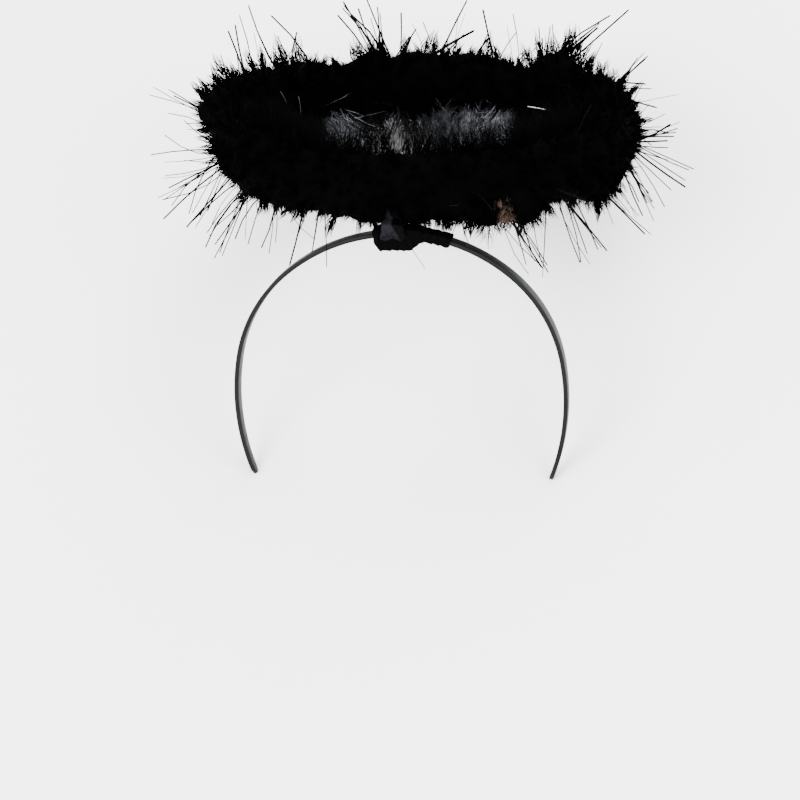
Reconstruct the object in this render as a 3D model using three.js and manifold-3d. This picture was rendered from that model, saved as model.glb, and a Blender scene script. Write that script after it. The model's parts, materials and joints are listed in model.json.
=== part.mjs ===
// A costume halo headband: a marabou feather ring with tinsel strands, on a wire stem and a plastic band.
// It lies as it does when it is put down on a table, on the two band tips and the back of the ring.
// Millimetres, +Z up. The worn frame, inside the outer group, has its origin on top of the band at the
// crown, with X across the head, Y backwards and Z up.
import * as THREE from "three";
import { mergeVertices } from "three/addons/utils/BufferGeometryUtils.js";
import Module from "manifold-3d";

const wasm = await Module();
wasm.setup();
const { degToRad, radToDeg } = THREE.MathUtils;

// Clearance between pieces that touch or pass through each other
const clearance = 0.3;

// Headband: a flat strip bent along arcs, wide at the crown and narrow at the two round tips
const bandWidth = 11;
const bandTipWidth = 7;
const bandThickness = 2.2;
const bandEdgeRound = 0.6;
const bandTaperDrop = 50;
const crownRadius = 87;
const crownEndAngle = 40;
const templeRadius = 72;
const templeEndAngle = 80;
const sideRadius = 110;
const sideEndAngle = 112;
const bandFacetAngle = 5;

// Wire: one hoop, a stem under it and two legs that lie on the band
const wireDiameter = 1.8;
const stemHeight = 21;
const shortLegLength = 9;
const longLegLength = 24;

// Tape that binds the legs to the band: a thick binding at the stem and a thin tail over the long leg
const bindingWall = 1.6;
const bindingHalfLength = 11.5;
const tailWall = 0.8;
const tailLength = 26.5;
const tapeEdgeRound = 0.5;

// Ribbon wrapped round the stem, flared over the binding
const ribbonHeight = 15;
const ribbonFootRadius = 5.8;
const ribbonNeckRadius = 2.2;
const ribbonSides = 14;

// Feather ring: a dense body whose whole surface is pointed locks, with hollows between them
const ringRadius = 95;
const ringTilt = 6;
const featherRadius = 16;
const lockReach = 22;
const lockLean = 4;
const lockPairsAlong = 46;
const lockPairsAround = 9;
const ringSegments = 40;
const partingRadius = 7.5;

// Tinsel: a thread that runs beside the hoop, with strands that stick out through the feathers
const threadDiameter = 1.6;
const threadGap = 0.6;
const strandCount = 38;
const strandLength = 42;
const strandWidth = 1.3;
const strandTipWidth = 0.8;

// How full the feathers are round the ring, as a share of their radius. The angle starts at the stem.
const fullness = [
  { at: 0, share: 1.0 },
  { at: 25, share: 1.07 },
  { at: 41, share: 0.94 },
  { at: 60, share: 1.08 },
  { at: 92, share: 1.0 },
  { at: 123, share: 1.14 },
  { at: 147, share: 0.88 },
  { at: 178, share: 1.06 },
  { at: 204, share: 0.89 },
  { at: 242, share: 1.02 },
  { at: 270, share: 1.08 },
  { at: 318, share: 0.95 },
  { at: 360, share: 1.0 },
];

const acrossHead = new THREE.Vector3(1, 0, 0);
const backwards = new THREE.Vector3(0, 1, 0);
const upwards = new THREE.Vector3(0, 0, 1);

// A repeatable stream of numbers from 0 to 1
function seededRandom(seed) {
  let state = seed;
  return () => {
    state = (Math.imul(state, 1664525) + 1013904223) >>> 0;
    return state / 2 ** 32;
  };
}

// A closed geometry as a solid that can be joined and cut
function solidOf(geometry) {
  geometry.deleteAttribute("normal");
  geometry.deleteAttribute("uv");
  const merged = mergeVertices(geometry);
  return new wasm.Manifold(
    new wasm.Mesh({
      numProp: 3,
      vertProperties: merged.getAttribute("position").array,
      triVerts: new Uint32Array(merged.index.array),
    }),
  );
}

function meshOf(name, solid, material) {
  const { vertProperties, triVerts } = solid.getMesh();
  const indexed = new THREE.BufferGeometry();
  indexed.setAttribute("position", new THREE.BufferAttribute(vertProperties, 3));
  indexed.setIndex(new THREE.BufferAttribute(triVerts, 1));
  const geometry = indexed.toNonIndexed();
  geometry.computeVertexNormals();
  const mesh = new THREE.Mesh(geometry, material);
  mesh.name = name;
  return mesh;
}

const join = (solids) => solids.reduce((whole, solid) => whole.add(solid));

// The band's line at an angle from the crown, moved outwards by an offset. Right is positive.
function bandPoint(angle, offset) {
  const arcs = [
    { radius: crownRadius, end: crownEndAngle },
    { radius: templeRadius, end: templeEndAngle },
    { radius: sideRadius, end: sideEndAngle },
  ];
  const turn = Math.abs(angle);
  const point = new THREE.Vector2(0, 0);
  let start = 0;
  for (const { radius, end } of arcs) {
    const from = degToRad(Math.min(turn, start));
    const to = degToRad(Math.min(turn, end));
    point.x += radius * (Math.sin(to) - Math.sin(from));
    point.y += radius * (Math.cos(to) - Math.cos(from));
    start = end;
  }
  point.x += offset * Math.sin(degToRad(turn));
  point.y += offset * Math.cos(degToRad(turn));
  point.x *= Math.sign(angle) || 1;
  return point;
}

// A slab that follows the band between two angles, from one offset to another, centred on Y 0
function bandSlab(fromAngle, toAngle, inner, outer, width, edgeRound) {
  const facets = Math.round((toAngle - fromAngle) / bandFacetAngle);
  const angles = Array.from(
    { length: facets + 1 },
    (_, i) => fromAngle + ((toAngle - fromAngle) * i) / facets,
  );
  const outline = [
    ...angles.map((angle) => bandPoint(angle, outer)),
    ...angles.reverse().map((angle) => bandPoint(angle, inner)),
  ];
  const geometry = new THREE.ExtrudeGeometry(new THREE.Shape(outline), {
    depth: width - 2 * edgeRound,
    steps: 1,
    bevelEnabled: edgeRound > 0,
    bevelThickness: edgeRound,
    bevelSize: edgeRound,
    bevelOffset: -edgeRound,
    bevelSegments: 1,
  });
  const forwards = backwards.clone().negate();
  geometry.translate(0, 0, edgeRound - width / 2);
  geometry.applyMatrix4(new THREE.Matrix4().makeBasis(acrossHead, upwards, forwards));
  return solidOf(geometry);
}

// The strip's outline from the side: full width at the crown, narrowing to a round tip
function bandSideOutline() {
  const tipRadius = bandTipWidth / 2;
  const tipCentre = bandPoint(sideEndAngle, -bandThickness).y + tipRadius;
  const shape = new THREE.Shape();
  shape.moveTo(bandWidth / 2, bandWidth);
  shape.lineTo(-bandWidth / 2, bandWidth);
  shape.lineTo(-bandWidth / 2, -bandTaperDrop);
  shape.lineTo(-tipRadius, tipCentre);
  shape.absarc(0, tipCentre, tipRadius, Math.PI, 2 * Math.PI, false);
  shape.lineTo(bandWidth / 2, -bandTaperDrop);
  const reach = 2 * (crownRadius + templeRadius);
  const geometry = new THREE.ExtrudeGeometry(shape, {
    depth: reach,
    bevelEnabled: false,
    curveSegments: 4,
  });
  geometry.translate(0, 0, -reach / 2);
  geometry.applyMatrix4(new THREE.Matrix4().makeBasis(backwards, upwards, acrossHead));
  return solidOf(geometry);
}

function makeHeadband() {
  const strip = bandSlab(-sideEndAngle, sideEndAngle, -bandThickness, 0, bandWidth, bandEdgeRound);
  return strip.intersect(bandSideOutline());
}

// The angle that a length along the top of the band takes up
const alongCrown = (length) => radToDeg(length / crownRadius);

const legOffset = clearance + wireDiameter / 2;
const legTop = clearance + wireDiameter;

// The tape round the band and the legs, a little larger than itself where another piece is cut by it
function makeTape(grow) {
  const ridgeWidth = wireDiameter + 2 * (clearance + tailWall);
  const wraps = [
    { start: -bindingHalfLength, end: bindingHalfLength, wall: bindingWall },
    { start: 0, end: tailLength, wall: tailWall },
  ];
  return join(
    wraps.flatMap(({ start, end, wall }) => {
      const [from, to] = [alongCrown(start), alongCrown(end)];
      const skin = clearance + wall + grow;
      const inner = -bandThickness - skin;
      const ridgeTop = legTop + clearance + tailWall + grow;
      return [
        bandSlab(from, to, inner, skin, bandWidth + 2 * skin, tapeEdgeRound),
        bandSlab(from, to, inner, ridgeTop, ridgeWidth + 2 * grow, tapeEdgeRound),
      ];
    }),
  );
}

function makeFootWrap() {
  const past = bandFacetAngle;
  const bandHole = bandSlab(
    alongCrown(-bindingHalfLength) - past,
    alongCrown(tailLength) + past,
    -bandThickness - clearance,
    clearance,
    bandWidth + 2 * clearance,
    0,
  );
  const legHole = bandSlab(
    alongCrown(-shortLegLength - wireDiameter),
    alongCrown(longLegLength + wireDiameter),
    -bandThickness,
    legTop + clearance,
    wireDiameter + 2 * clearance,
    0,
  );
  const stemHole = stemCylinder(wireDiameter / 2 + clearance);
  return makeTape(0).subtract(bandHole).subtract(legHole).subtract(stemHole);
}

function stemCylinder(radius) {
  const bottom = legOffset;
  const geometry = new THREE.CylinderGeometry(radius, radius, stemHeight - bottom, 8);
  geometry.rotateX(Math.PI / 2);
  geometry.translate(0, 0, (stemHeight + bottom) / 2);
  return solidOf(geometry);
}

// From the ring's own frame, with its axis along Z, to the worn frame: its front stands on the stem
const ringFrame = new THREE.Matrix4()
  .makeTranslation(0, 0, stemHeight)
  .multiply(new THREE.Matrix4().makeRotationX(degToRad(ringTilt)))
  .multiply(new THREE.Matrix4().makeTranslation(0, ringRadius, 0));

function torus(radius, tubeRadius, sides) {
  const geometry = new THREE.TorusGeometry(radius, tubeRadius, sides, ringSegments);
  geometry.applyMatrix4(ringFrame);
  return solidOf(geometry);
}

function makeWire() {
  const wireRadius = wireDiameter / 2;
  const legLine = new THREE.CatmullRomCurve3(
    [-shortLegLength, 0, longLegLength / 2, longLegLength].map((length) => {
      const point = bandPoint(alongCrown(length), legOffset);
      return new THREE.Vector3(point.x, 0, point.y);
    }),
  );
  const section = new THREE.Shape().absarc(0, 0, wireRadius, 0, 2 * Math.PI, false);
  const legs = new THREE.ExtrudeGeometry(section, {
    extrudePath: legLine,
    steps: 6,
    curveSegments: 4,
    bevelEnabled: false,
  });
  return join([torus(ringRadius, wireRadius, 6), stemCylinder(wireRadius), solidOf(legs)]);
}

// A round shape about the stem, from a profile of radius and height that closes on itself
function turned(profile) {
  const points = profile.map(([radius, height]) => new THREE.Vector2(radius, height));
  const geometry = new THREE.LatheGeometry([...points, points[0]], ribbonSides);
  geometry.rotateX(Math.PI / 2);
  return solidOf(geometry);
}

const ribbonBottom = clearance + bindingWall;

function makeRibbon() {
  const hole = wireDiameter / 2 + clearance;
  const top = ribbonBottom + ribbonHeight;
  const heightAt = (share) => ribbonBottom + clearance + ribbonHeight * share;
  const radiusAt = (share) => THREE.MathUtils.lerp(ribbonNeckRadius, ribbonFootRadius, share);
  const wrap = turned([
    [hole, ribbonBottom - bindingWall],
    [ribbonFootRadius, ribbonBottom - bindingWall],
    [ribbonFootRadius, heightAt(0.04)],
    [radiusAt(0.72), heightAt(0.2)],
    [radiusAt(0.3), heightAt(0.42)],
    [radiusAt(0), heightAt(0.66)],
    [radiusAt(0.14), top],
    [hole, top],
  ]);
  return wrap.subtract(makeTape(clearance));
}

// The feathers' radius round the ring, as a share of the full one
function fullnessAt(angle) {
  const turn = THREE.MathUtils.euclideanModulo(angle, 360);
  const next = fullness.findIndex(({ at }) => at > turn);
  const [low, high] = [fullness[next - 1], fullness[next]];
  return THREE.MathUtils.mapLinear(turn, low.at, high.at, low.share, high.share);
}

// The ring's centreline at an angle from the stem, its outward direction and its direction of travel
function ringStation(angle) {
  const turn = degToRad(angle);
  const outward = new THREE.Vector3(Math.sin(turn), -Math.cos(turn), 0);
  const along = new THREE.Vector3(Math.cos(turn), Math.sin(turn), 0);
  return { centre: outward.clone().multiplyScalar(ringRadius), outward, along };
}

// The direction from the centreline at an angle round the tube: 0 is outwards and 90 is up
function tubeDirection({ outward }, tubeAngle) {
  const turn = degToRad(tubeAngle);
  return outward.clone().multiplyScalar(Math.cos(turn)).addScaledVector(upwards, Math.sin(turn));
}

// A tapered rod from one point to another in the ring's own frame
function rod(start, end, startRadius, endRadius, sides) {
  const line = end.clone().sub(start);
  const geometry = new THREE.CylinderGeometry(endRadius, startRadius, line.length(), sides);
  const turn = new THREE.Quaternion().setFromUnitVectors(backwards, line.clone().normalize());
  geometry.applyQuaternion(turn);
  geometry.translate(...start.clone().add(end).multiplyScalar(0.5));
  geometry.applyMatrix4(ringFrame);
  return solidOf(geometry);
}

// The feathers as one closed body: a net round the ring where tips and hollows take turns both ways.
// Each tip leans along the ring, as wound feathers do.
function featherBody() {
  const random = seededRandom(7);
  const rows = 2 * lockPairsAlong;
  const columns = 2 * lockPairsAround;
  const points = [];
  for (let i = 0; i < rows; i++) {
    const angle = (i * 360) / rows;
    const station = ringStation(angle);
    for (let j = 0; j < columns; j++) {
      const isTip = (i + j) % 2 === 0;
      const tipReach = lockReach * (0.9 + 0.2 * random());
      const reach = fullnessAt(angle) * (isTip ? tipReach : featherRadius);
      const lean = isTip ? lockLean * (0.3 + random()) : 0;
      const direction = tubeDirection(station, (j * 360) / columns);
      const point = station.centre.clone().addScaledVector(direction, reach);
      points.push(point.addScaledVector(station.along, lean));
    }
  }
  const at = (i, j) => (i % rows) * columns + (j % columns);
  const faces = [];
  for (let i = 0; i < rows; i++) {
    for (let j = 0; j < columns; j++) {
      const corners = [at(i, j), at(i + 1, j), at(i + 1, j + 1), at(i, j + 1)];
      if ((i + j) % 2) corners.push(corners.shift());
      const [tip, hollow, nextTip, nextHollow] = corners;
      faces.push(tip, hollow, nextHollow, nextTip, nextHollow, hollow);
    }
  }
  const geometry = new THREE.BufferGeometry().setFromPoints(points);
  geometry.setIndex(faces);
  geometry.applyMatrix4(ringFrame);
  return solidOf(geometry);
}

// The room that the feathers leave: round the hoop and thread, round the stem, and over the bound band
function featherPassages() {
  const threadOffset = (wireDiameter + threadDiameter) / 2 + threadGap;
  const channelRadius = (threadOffset + (wireDiameter + threadDiameter) / 2) / 2 + 2 * clearance;
  const channelCentre = ringRadius + threadOffset / 2;
  const ridge = legTop + clearance + tailWall;
  const parting = turned([
    [0, -bandThickness],
    [partingRadius, -bandThickness],
    [partingRadius, stemHeight - featherRadius],
    [ribbonNeckRadius + 3 * clearance, ribbonBottom + ribbonHeight + clearance],
    [ribbonNeckRadius, stemHeight],
    [0, stemHeight],
  ]);
  const overBand = bandSlab(
    -crownEndAngle,
    crownEndAngle,
    -featherRadius,
    ridge + clearance,
    bandWidth + 2 * (bindingWall + 2 * clearance),
    0,
  );
  return [torus(channelCentre, channelRadius, 8), parting, overBand];
}

// The angle by which the worn frame tips back until the tips and the ring's back stand on one plane
function restAngleOf(band, feathers) {
  const lowest = (solid, angle) => {
    const { vertProperties } = solid.getMesh();
    let least = Infinity;
    for (let i = 0; i < vertProperties.length; i += 3) {
      const height =
        vertProperties[i + 2] * Math.cos(angle) - vertProperties[i + 1] * Math.sin(angle);
      least = Math.min(least, height);
    }
    return least;
  };
  let [low, high] = [0, Math.PI / 2];
  for (let i = 0; i < 40; i++) {
    const middle = (low + high) / 2;
    if (lowest(feathers, middle) > lowest(band, middle)) low = middle;
    else high = middle;
  }
  return { angle: low, floor: lowest(band, low) };
}

// Each strand's two ends in the ring's own frame, clear of the band and of what the part lies on
function strandLines(rest) {
  const random = seededRandom(23);
  const threadRadius = ringRadius + (wireDiameter + threadDiameter) / 2 + threadGap;
  const overFloor = (point) =>
    point.z * Math.cos(rest.angle) - point.y * Math.sin(rest.angle) - rest.floor;
  const isClear = (start, end) =>
    [0.4, 0.6, 0.8, 1].every((share) => {
      const point = start.clone().lerp(end, share).applyMatrix4(ringFrame);
      const inBand = Math.abs(point.y) < 2 * bandWidth && point.z < legTop + bindingWall;
      return overFloor(point) > 2 * strandWidth && !inBand;
    });
  const lines = [];
  for (let i = 0; i < strandCount; i++) {
    const angle = ((i + 0.5) * 360) / strandCount;
    const station = ringStation(angle);
    const start = station.outward.clone().multiplyScalar(threadRadius);
    const length = strandLength * (0.72 + 0.28 * random());
    const lean = strandLength * 0.5 * (random() - 0.5);
    const first = -105 + 205 * random();
    for (let swing = 0; swing < 360; swing += 15) {
      const tubeAngle = first + (swing % 30 ? -swing : swing) / 2;
      const inwards = Math.abs(tubeAngle) > 120;
      const end = start.clone().addScaledVector(tubeDirection(station, tubeAngle), length);
      end.addScaledVector(station.along, lean);
      if (!inwards && isClear(start, end)) {
        lines.push([start, end]);
        break;
      }
    }
  }
  return lines;
}

function makeTinsel(lines) {
  const threadRadius = ringRadius + (wireDiameter + threadDiameter) / 2 + threadGap;
  const strands = lines.map(([start, end]) =>
    rod(start, end, strandWidth / 2, strandTipWidth / 2, 3),
  );
  return join([torus(threadRadius, threadDiameter / 2, 5), ...strands]);
}

// The ways that the strands take through the feathers. A three-sided rod is half as deep as its radius.
function strandPassages(lines) {
  const radius = strandWidth / 2 + 2 * clearance;
  return lines.map(([start, end]) => rod(start, end, radius, radius, 3));
}

const materials = {
  plastic: new THREE.MeshStandardMaterial({ color: 0x17171a, roughness: 0.38, metalness: 0 }),
  tape: new THREE.MeshStandardMaterial({ color: 0x08080a, roughness: 0.8, metalness: 0 }),
  ribbon: new THREE.MeshStandardMaterial({ color: 0x2a2a31, roughness: 0.45, metalness: 0 }),
  wire: new THREE.MeshStandardMaterial({ color: 0x101012, roughness: 0.5, metalness: 0.6 }),
  feather: new THREE.MeshStandardMaterial({ color: 0x050506, roughness: 0.95, metalness: 0 }),
  tinsel: new THREE.MeshStandardMaterial({ color: 0x1b1b20, roughness: 0.25, metalness: 0.7 }),
};

const headband = makeHeadband();
const openFeathers = featherPassages().reduce((left, cut) => left.subtract(cut), featherBody());
const rest = restAngleOf(headband, openFeathers);
const lines = strandLines(rest);
const feathers = strandPassages(lines).reduce((left, cut) => left.subtract(cut), openFeathers);

const worn = new THREE.Group();
worn.name = "worn_frame";
worn.rotation.x = -rest.angle;
worn.add(
  meshOf("headband", headband, materials.plastic),
  meshOf("foot_wrap", makeFootWrap(), materials.tape),
  meshOf("stem_ribbon", makeRibbon(), materials.ribbon),
  meshOf("wire_frame", makeWire(), materials.wire),
  meshOf("marabou_ring", feathers, materials.feather),
  meshOf("tinsel", makeTinsel(lines), materials.tinsel),
);

// The part stands on Z 0, with its box centred on the origin
const bounds = new THREE.Box3().setFromObject(worn, true);
const middle = bounds.getCenter(new THREE.Vector3());
worn.position.set(-middle.x, -middle.y, -bounds.min.z);

const haloHeadband = new THREE.Group();
haloHeadband.name = "halo_headband";
haloHeadband.add(worn);

export default haloHeadband;
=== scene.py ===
"""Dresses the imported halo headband: smooth band, wound tape and ribbon, marabou plumes and tinsel.

Sizes are in metres. The worn frame has its origin on top of the band at its crown, with X across,
Y backwards and Z up. The ring's own frame has its centre as origin, its axis along Z and the stem
at -Y. Both are worked out from the frame's crown seat, because the part lies tipped back on the floor.
"""

import json
import math
from functools import partialmethod

import bpy
import numpy as np
from mathutils import Matrix, Vector


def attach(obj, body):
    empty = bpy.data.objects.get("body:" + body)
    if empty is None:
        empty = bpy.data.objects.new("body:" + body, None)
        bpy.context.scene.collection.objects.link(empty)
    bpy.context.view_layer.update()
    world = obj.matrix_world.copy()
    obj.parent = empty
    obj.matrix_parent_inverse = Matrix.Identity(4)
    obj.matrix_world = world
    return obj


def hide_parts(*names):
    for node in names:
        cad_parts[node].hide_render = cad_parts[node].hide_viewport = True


bl_info = {
    "name": "Halo Headband",
    "version": (1, 0, 0),
    "blender": (4, 5, 0),
    "location": "3D View > Sidebar > Halo",
    "description": "Dresses a feather halo headband round its CAD frame",
    "category": "Object",
}

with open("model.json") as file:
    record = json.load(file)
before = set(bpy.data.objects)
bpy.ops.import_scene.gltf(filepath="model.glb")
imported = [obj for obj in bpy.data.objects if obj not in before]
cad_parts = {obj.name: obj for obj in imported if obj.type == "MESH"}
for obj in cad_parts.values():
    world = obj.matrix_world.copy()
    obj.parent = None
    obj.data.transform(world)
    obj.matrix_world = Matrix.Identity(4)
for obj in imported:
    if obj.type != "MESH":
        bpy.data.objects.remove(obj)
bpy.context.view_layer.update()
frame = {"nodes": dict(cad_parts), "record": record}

# From the tape's underside, where the crown seat is, to the top of the band
SEAT_TO_BAND_TOP = 0.0041

# The ribbon starts on the binding, ends in the feathers and leans to -X
RIBBON_BOTTOM = 0.0017
RIBBON_HEIGHT = 0.0168
RIBBON_SHIFT = -0.0014

# The band's arcs end at these angles from the crown, in degrees
CROWN_END, TEMPLE_END, BAND_END = 40, 80, 112

# How far a tuft spreads round the tube, in degrees
TUFT_SPREAD = 42

# The lamps: their names, places, sizes and power in watts. All face a place above the part's middle.
LAMPS = (
    {"name": "key light", "place": (-0.9, -1.3, 1.6), "size": 1.2, "power": 110},
    {"name": "fill light", "place": (1.3, -0.9, 1.1), "size": 1.4, "power": 45},
    {"name": "back light", "place": (0.3, 1.5, 1.3), "size": 1.2, "power": 70},
)
LAMP_TARGET = (0, 0, 0.08)


def table(columns, *rows):
    """A short table as a dictionary of its columns, each an array."""
    return dict(zip(columns.split(), np.array(rows, float).T))


# Round the ring, with the angle in degrees from the stem: the feathers' share of their full radius, and how
# far their middle lies above the hoop in metres
ROUND_RING = table(
    "at share lift",
    (0, 1.0, 0.0),
    (21, 1.02, 0.0),
    (58, 0.97, 0.0),
    (76, 1.03, 0.0),
    (99, 0.81, 0.0),
    (120, 1.0, 0.0),
    (142, 1.03, 0.0),
    (158, 0.92, 0.0),
    (190, 1.05, 0.0),
    (216, 0.9, 0.0),
    (233, 1.0, 0.002),
    (256, 1.02, 0.006),
    (280, 0.9, 0.0095),
    (298, 0.98, 0.004),
    (318, 1.0, 0.0005),
    (335, 0.93, 0.0),
    (360, 1.0, 0.0),
)

# Tufts that stand out: where round the ring and round its tube in degrees (0 is outwards, 90 is up), how far
# they spread round the ring in degrees, and how tall they are in metres
TUFTS = table(
    "at around wide tall",
    (4, -90, 3, 0.004),
    (20, -90, 5, 0.004),
    (27, -90, 4, 0.0095),
    (37, -85, 5, 0.0125),
    (46, -85, 4, -0.002),
    (66, -78, 8, 0.0115),
    (92, -55, 9, -0.0105),
    (100, 10, 4, 0.004),
    (118, 65, 8, 0.005),
    (141, 85, 7.5, 0.013),
    (154, 85, 5, -0.006),
    (172, 90, 7, 0.0035),
    (189, 90, 6, 0.0045),
    (205, 90, 5, 0.01),
    (216, 90, 4, -0.002),
    (222, 90, 3, 0.005),
    (231, 90, 6, 0.0085),
    (250, 85, 9, 0.007),
    (269, 75, 6, 0.0105),
    (277, 30, 3.5, 0.01),
    (284, -52, 10, -0.0115),
    (335, -90, 4, -0.003),
    (351, -90, 5, 0.0025),
    (354, -90, 2.5, 0.003),
)

# Fans of tinsel: where round the ring and how far apart their roots are in degrees, where round the tube in
# degrees, how they lean and curl along the ring, their length in metres, how many strands and how wide
FANS = table(
    "at apart around lean curl length strands wide",
    (27, 3, -72, 0.5, 0.0, 0.053, 6, 1.0),
    (31, 3, -80, 0.3, 0.0, 0.05, 5, 1.0),
    (42.7, 1.5, -40, 0.19, 0.0, 0.054, 4, 1.2),
    (48, 5, -66, -0.1, 0.0, 0.052, 8, 0.9),
    (57, 1, -76, 0.87, 0.0, 0.068, 2, 1.2),
    (66, 5, -60, 0.1, 0.0, 0.04, 5, 0.9),
    (90, 3.5, -60, 0.04, 0.0, 0.049, 8, 1.1),
    (92, 2, -34, 0.0, 0.0, 0.054, 4, 1.4),
    (81, 3, 3, 0.25, 0.0, 0.036, 7, 1.4),
    (134, 2.5, 2, 1.0, -0.9, 0.067, 4, 1.4),
    (122.6, 1.5, 40, -0.1, 0.0, 0.041, 4, 1.2),
    (154, 1.4, 80, -1.05, -0.05, 0.058, 5, 1.4),
    (150.6, 0.9, 79, -0.51, -0.43, 0.059, 2, 1.4),
    (147, 2.0, 87, 0.04, 0.0, 0.038, 4, 1.3),
    (163.7, 0.4, 88, 0.22, 0.0, 0.052, 1, 1.7),
    (172.9, 0.8, 88, -0.47, 0.0, 0.034, 2, 1.6),
    (186.9, 0.4, 88, -0.48, 0.0, 0.053, 1, 1.7),
    (193.9, 0.9, 87, -0.5, -0.68, 0.037, 3, 1.9),
    (195.8, 0.4, 88, -0.04, 0.0, 0.041, 1, 1.8),
    (204, 1.0, 89, -0.85, 0.05, 0.043, 3, 1.7),
    (195.4, 0.8, 88, 0.35, 0.0, 0.056, 2, 1.4),
    (200.7, 0.8, 88, -0.05, 0.05, 0.05, 3, 1.4),
    (200.3, 1.0, 88, 0.08, 0.4, 0.051, 6, 1.5),
    (222.2, 0.5, 86, 0.16, 0.4, 0.053, 1, 1.3),
    (231.7, 0.4, 85, -0.17, 0.0, 0.045, 1, 1.9),
    (230.8, 0.5, 79, 0.64, -0.19, 0.077, 1, 1.7),
    (250, 2.2, 80, -0.12, 0.12, 0.057, 3, 1.4),
    (257, 2.0, 79, 0.1, 0.0, 0.038, 4, 1.4),
    (265, 3, 28, 0.0, 0.0, 0.05, 4, 1.1),
    (292.9, 4, -16, 0.05, 0.0, 0.048, 5, 1.1),
    (297.2, 4, -28, 0.12, 0.0, 0.052, 5, 1.2),
    (274.5, 4, -60, 0.5, 0.0, 0.047, 4, 1.1),
    (310, 4, -42, -0.1, 0.0, 0.055, 6, 1.3),
    (317, 6, -60, -0.9, 0.35, 0.07, 5, 1.0),
    (317, 4, -66, 0.38, -0.25, 0.049, 5, 1.1),
    (333.6, 4, -54, -0.42, 0.0, 0.06, 10, 1.3),
    (335, 4, -58, 0.0, 0.0, 0.047, 9, 1.2),
)

# Light that comes through the down in the hole: where round the ring and how wide in degrees, and how strong
LIGHT_IN_HOLE = table(
    "at wide light",
    (157, 5.5, 1.2),
    (170.5, 3, 0.6),
    (181, 5.5, 0.25),
    (189, 2.2, 0.35),
    (200, 4.0, 0.35),
    (210, 2.8, 0.03),
    (224, 6.5, 0.9),
)

# Strands that lie on the feathers with a painted glint, as if they caught the light: where they start and end
# round the ring and round the tube in degrees, how wide they are and how bright their painted glint is
GLINTS = table(
    "at around to_at to_around wide bright",
    (137.5, 178, 124, 174, 1.1, 0.6),
    (257.5, 134, 259.5, 152, 0.8, 0.035),
    (248.5, 150, 251.5, 172, 0.8, 0.05),
)


def worn_frame():
    """The worn frame's matrix, from the flat seat under the crown."""
    seat = next(m for m in frame["record"]["mounts"] if m["name"] == "crown_seat")
    up = -Vector(seat["axis"]).normalized()
    across = Vector((1, 0, 0))
    turn = Matrix((across, up.cross(across), up)).transposed().to_4x4()
    return Matrix.Translation(Vector(seat["pos_m"]) + up * SEAT_TO_BAND_TOP) @ turn


WORN = worn_frame()


def length_property(name, description, default):
    """A length in metres."""
    return bpy.props.FloatProperty(
        name=name, description=description, default=default, subtype="DISTANCE", unit="LENGTH"
    )


def count_property(name, description, default, least):
    """A number of things."""
    return bpy.props.IntProperty(name=name, description=description, default=default, min=least)


def colour_property(name, description, default):
    """A linear colour."""
    return bpy.props.FloatVectorProperty(
        name=name, description=description, default=default, subtype="COLOR", size=3
    )


class HaloSizes(bpy.types.PropertyGroup):
    """Sizes of the halo headband."""

    band_width: length_property("Band width", "Width at the crown", 0.011)
    band_tip_width: length_property("Tip width", "Width at the tips", 0.007)
    band_thickness: length_property("Band thickness", "Wall of the band", 0.0022)
    band_edge: length_property("Band edge", "Rounding of its edges", 0.0007)
    taper_drop: length_property("Taper drop", "Depth where it narrows", 0.05)
    crown_radius: length_property("Crown radius", "Top of the band", 0.087)
    temple_radius: length_property("Temple radius", "Upper sides", 0.072)
    side_radius: length_property("Side radius", "Lower sides", 0.11)
    stem_height: length_property("Stem height", "Band top to hoop", 0.021)
    ring_radius: length_property("Ring radius", "Centreline of the ring", 0.095)
    ring_tilt: bpy.props.FloatProperty(
        name="Ring tilt", description="Rise of the ring's back", default=math.radians(6), subtype="ANGLE"
    )
    down_radius: length_property("Down radius", "Down round the hoop", 0.0155)
    plume_root: length_property("Plume root", "Where plumes start", 0.0105)
    plume_reach: length_property("Plume reach", "Where plumes end", 0.0225)
    plume_lean: length_property("Plume lean", "Lean along the ring", 0.004)
    barb_width: length_property("Barb width", "Width of a barb", 0.00032)
    fuzz_length: length_property("Fuzz length", "Longest loose barbs", 0.0048)
    wisp_length: length_property("Wisp length", "Longest wisps in the hole", 0.036)
    strand_length: length_property("Strand length", "Longest tinsel", 0.06)
    strand_width: length_property("Strand width", "Width of the film", 0.00072)
    plumes_along: count_property("Plumes along", "Rows of plumes round the ring", 200, 8)
    plumes_around: count_property("Plumes around", "Plumes in each row", 15, 3)
    plume_barbs: count_property("Barbs", "Barbs on each plume", 19, 4)
    fuzz_count: count_property("Fuzz", "Loose barbs between the plumes", 24000, 0)
    wisp_count: count_property("Wisps", "Long wisps of down in the hole", 8200, 0)
    loose_strands: count_property("Loose strands", "Strands of tinsel outside the fans", 70, 0)


class HaloColours(bpy.types.PropertyGroup):
    """Colours of the halo headband."""

    plastic: colour_property("Plastic", "Headband", (0.005, 0.005, 0.0055))
    tape: colour_property("Tape", "Binding tape", (0.0009, 0.0009, 0.001))
    ribbon: colour_property("Ribbon", "Ribbon on the stem", (0.0036, 0.0035, 0.0045))
    wire: colour_property("Wire", "Lacquered wire", (0.01, 0.01, 0.011))
    feather: colour_property("Feather", "Marabou", (0.0003, 0.0003, 0.00033))
    feather_warm: colour_property("Warm feather", "One brown plume", (0.06, 0.039, 0.03))
    wisp: colour_property("Wisps", "Lit down in the hole", (0.034, 0.036, 0.04))
    film: colour_property("Film", "Tinsel", (0.001, 0.001, 0.0012))
    floor: colour_property("Floor", "Pale floor", (0.9, 0.9, 0.9))


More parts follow.
